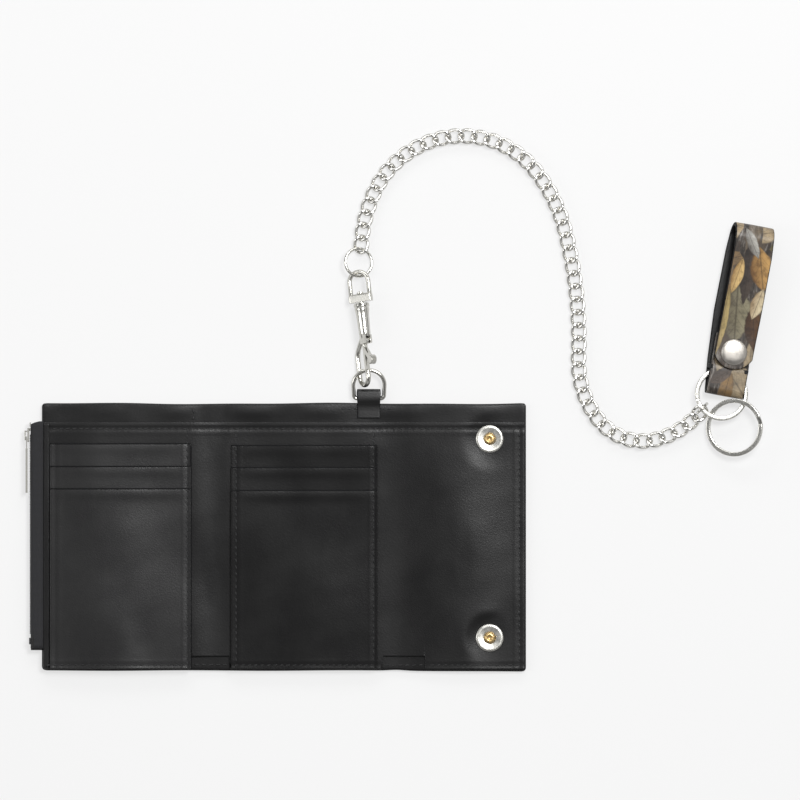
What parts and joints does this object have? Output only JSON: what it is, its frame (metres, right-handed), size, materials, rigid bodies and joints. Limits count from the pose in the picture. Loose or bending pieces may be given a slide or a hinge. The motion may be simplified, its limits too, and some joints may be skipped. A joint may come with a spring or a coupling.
{
  "type": "chain wallet",
  "caption": "Trifold snap wallet lying open, with card slots, a zipped side pocket, and a curb chain from a swivel hook to split rings and a snap belt loop.",
  "frame": {"origin": "middle of the outer face of the middle panel, midway between the two folds and between the top and bottom edges, on the surface the open wallet lies on", "axes": "+X along the open wallet from the zipped panel to the snap flap, +Y up the panels towards the bill pocket's mouth and the chain, +Z away from the surface towards the card slots"},
  "size_m": [0.3311, 0.2388, 0.0146],
  "materials": {
    "shell_leather": "printed leather, satin",
    "lining_leather": "black, fine grain, satin",
    "tab_leather": "dark, satin",
    "coin_pocket_cloth": "black woven",
    "zip_tape": "black woven tape",
    "zip_coil": "black nylon",
    "zip_metal": "polished nickel",
    "snap_nickel": "satin nickel",
    "snap_brass": "satin",
    "nickel": "polished nickel",
    "steel": "brushed",
    "strap_leather": "printed leather, satin",
    "strap_lining": "black, smooth",
    "thread": "black thread"
  },
  "bodies": {
    "wallet_middle": {"outer_leather_middle": "shell_leather", "shell_lining_middle": "lining_leather", "inner_lining_middle": "lining_leather", "card_pocket_middle_1": "lining_leather", "card_pocket_middle_2": "lining_leather", "card_pocket_middle_3": "lining_leather", "ring_tab": "tab_leather"},
    "left_panel": {"outer_leather_left": "shell_leather", "shell_lining_left": "lining_leather", "inner_lining_left": "lining_leather", "card_pocket_left_1": "lining_leather", "card_pocket_left_2": "lining_leather", "card_pocket_left_3": "lining_leather", "coin_pocket_back": "coin_pocket_cloth", "coin_pocket_front": "coin_pocket_cloth", "zip_tape_upper": "zip_tape", "zip_tape_lower": "zip_tape", "zip_coils": "zip_coil", "zip_top_stop": "zip_metal", "zip_end_tab": "zip_tape", "snap_sockets": "snap_nickel"},
    "zip_slider_body": {"zip_slider": "zip_metal"},
    "zip_pull_body": {"zip_pull": "zip_metal"},
    "flap": {"outer_leather_flap": "shell_leather", "shell_lining_flap": "lining_leather", "inner_lining_flap": "lining_leather", "snap_caps": "snap_nickel", "snap_discs": "snap_nickel", "snap_posts": "snap_brass"},
    "d_ring_body": {"d_ring": "nickel"},
    "hook": {"hook_body": "nickel", "gate_pin": "steel", "gate_spring": "steel"},
    "gate": {"hook_gate": "nickel"},
    "swivel": {"swivel_eye": "nickel", "swivel_rivet": "steel"},
    "jump_ring_body": {"jump_ring": "nickel"},
    "chain_01": {"chain_run_01": "nickel"},
    "chain_02": {"chain_run_02": "nickel"},
    "chain_03": {"chain_run_03": "nickel"},
    "chain_04": {"chain_run_04": "nickel"},
    "chain_05": {"chain_run_05": "nickel"},
    "chain_06": {"chain_run_06": "nickel"},
    "chain_07": {"chain_run_07": "nickel"},
    "chain_08": {"chain_run_08": "nickel"},
    "chain_09": {"chain_run_09": "nickel"},
    "chain_10": {"chain_run_10": "nickel"},
    "end_link": {"chain_end_link": "nickel"},
    "small_ring": {"small_split_ring": "nickel"},
    "key_ring_body": {"key_ring": "nickel"},
    "belt_back": {"strap_back": "strap_leather", "strap_top_fold": "strap_leather", "strap_tail": "strap_leather", "strap_lining_back": "strap_lining", "bartack_knots": "thread", "strap_snap_stud": "snap_nickel"},
    "belt_tongue": {"strap_tongue": "strap_leather", "strap_lining_tongue": "strap_lining", "strap_snap_socket": "snap_nickel", "strap_snap_cap": "snap_nickel"}
  },
  "joints": [
    {"name": "left_fold", "type": "hinge", "parent": "wallet_middle", "child": "left_panel", "pos_m": [-0.0418, 0, 0.0057], "axis": [0, 1, 0], "range_deg": [0, 180]},
    {"name": "flap_fold", "type": "hinge", "parent": "wallet_middle", "child": "flap", "pos_m": [0.0418, 0, 0.0075], "axis": [0, -1, 0], "range_deg": [0, 180]},
    {"name": "zip_slide", "type": "slide", "parent": "left_panel", "child": "zip_slider_body", "axis": [0, -1, 0], "range_m": [0, 0.084]},
    {"name": "zip_pull_swing", "type": "hinge", "parent": "zip_slider_body", "child": "zip_pull_body", "pos_m": [-0.12295, 0.044, 0.00275], "axis": [0, 0, -1], "range_deg": [0, 165]},
    {"name": "d_ring_swing", "type": "hinge", "parent": "wallet_middle", "child": "d_ring_body", "pos_m": [0.0277, 0.061, 0.0022], "axis": [1, 0, 0], "range_deg": [0, 55]},
    {"name": "hook_yaw", "type": "hinge", "parent": "d_ring_body", "child": "hook", "pos_m": [0.0252, 0.0729, 0.0042], "axis": [0, 0, 1], "range_deg": [-2, 15]},
    {"name": "gate_swing", "type": "hinge", "parent": "hook", "child": "gate", "pos_m": [0.02639, 0.08654, 0.00788], "axis": [-0.8683, -0.0289, 0.4951], "range_deg": [0, 10], "stiffness_Nm_per_rad": 0.02},
    {"name": "swivel_turn", "type": "hinge", "parent": "hook", "child": "swivel", "pos_m": [0.0243, 0.1031, 0.00518], "axis": [-0.1121, 0.9839, -0.1392], "range_deg": [-170, 150]},
    {"name": "jump_ring_swing", "type": "hinge", "parent": "swivel", "child": "jump_ring_body", "pos_m": [0.02282, 0.11609, 0.00334], "axis": [0, 0, 1], "range_deg": [-10, 5]},
    {"name": "chain_start", "type": "hinge", "parent": "jump_ring_body", "child": "chain_01", "pos_m": [0.0245, 0.1253, 0.0021], "axis": [0, 0, 1], "range_deg": [-10, 10]},
    {"name": "chain_bend_01", "type": "hinge", "parent": "chain_01", "child": "chain_02", "pos_m": [0.03102, 0.15345, 0.00185], "axis": [0, 0, 1], "range_deg": [-7.3, 22.7]},
    {"name": "chain_bend_02", "type": "hinge", "parent": "chain_02", "child": "chain_03", "pos_m": [0.05156, 0.17266, 0.00185], "axis": [0, 0, 1], "range_deg": [-7.3, 22.7]},
    {"name": "chain_bend_03", "type": "hinge", "parent": "chain_03", "child": "chain_04", "pos_m": [0.07958, 0.17491, 0.00185], "axis": [0, 0, 1], "range_deg": [-6.9, 23.1]},
    {"name": "chain_bend_04", "type": "hinge", "parent": "chain_04", "child": "chain_05", "pos_m": [0.10261, 0.15882, 0.00185], "axis": [0, 0, 1], "range_deg": [-10.2, 19.8]},
    {"name": "chain_bend_05", "type": "hinge", "parent": "chain_05", "child": "chain_06", "pos_m": [0.1144, 0.13289, 0.00185], "axis": [0, 0, 1], "range_deg": [-13.3, 16.7]},
    {"name": "chain_bend_06", "type": "hinge", "parent": "chain_06", "child": "chain_07", "pos_m": [0.11918, 0.10462, 0.00185], "axis": [0, 0, 1], "range_deg": [-13.3, 16.7]},
    {"name": "chain_bend_07", "type": "hinge", "parent": "chain_07", "child": "chain_08", "pos_m": [0.11997, 0.07595, 0.00185], "axis": [0, 0, 1], "range_deg": [-22.9, 7.1]},
    {"name": "chain_bend_08", "type": "hinge", "parent": "chain_08", "child": "chain_09", "pos_m": [0.13032, 0.04989, 0.00185], "axis": [0, 0, 1], "range_deg": [-28.3, 1]},
    {"name": "chain_bend_09", "type": "hinge", "parent": "chain_09", "child": "chain_10", "pos_m": [0.15667, 0.04376, 0.00185], "axis": [0, 0, 1], "range_deg": [-23.9, 6.1]},
    {"name": "end_link_swing", "type": "hinge", "parent": "chain_10", "child": "end_link", "pos_m": [0.17511, 0.05686, 0.0032], "axis": [0, 0, 1], "range_deg": [-8, 8]},
    {"name": "small_ring_turn", "type": "hinge", "parent": "end_link", "child": "small_ring", "pos_m": [0.1828, 0.0629, 0.0048], "axis": [0.1374, 0, 0.9905], "range_deg": [0, 15]},
    {"name": "key_ring_lift", "type": "hinge", "parent": "small_ring", "child": "key_ring_body", "pos_m": [0.18538, 0.05619, 0.00499], "axis": [0.9332, 0.3594, 0], "range_deg": [-8, 15]},
    {"name": "belt_loop_swing", "type": "hinge", "parent": "small_ring", "child": "belt_back", "pos_m": [0.1828, 0.0629, 0.0048], "axis": [0.1374, 0, 0.9905], "range_deg": [0, 15]},
    {"name": "tongue_open", "type": "hinge", "parent": "belt_back", "child": "belt_tongue", "pos_m": [0.19794, 0.13092, 0.01322], "axis": [-0.9755, 0.1773, 0.1305], "range_deg": [0, 150]}
  ]
}
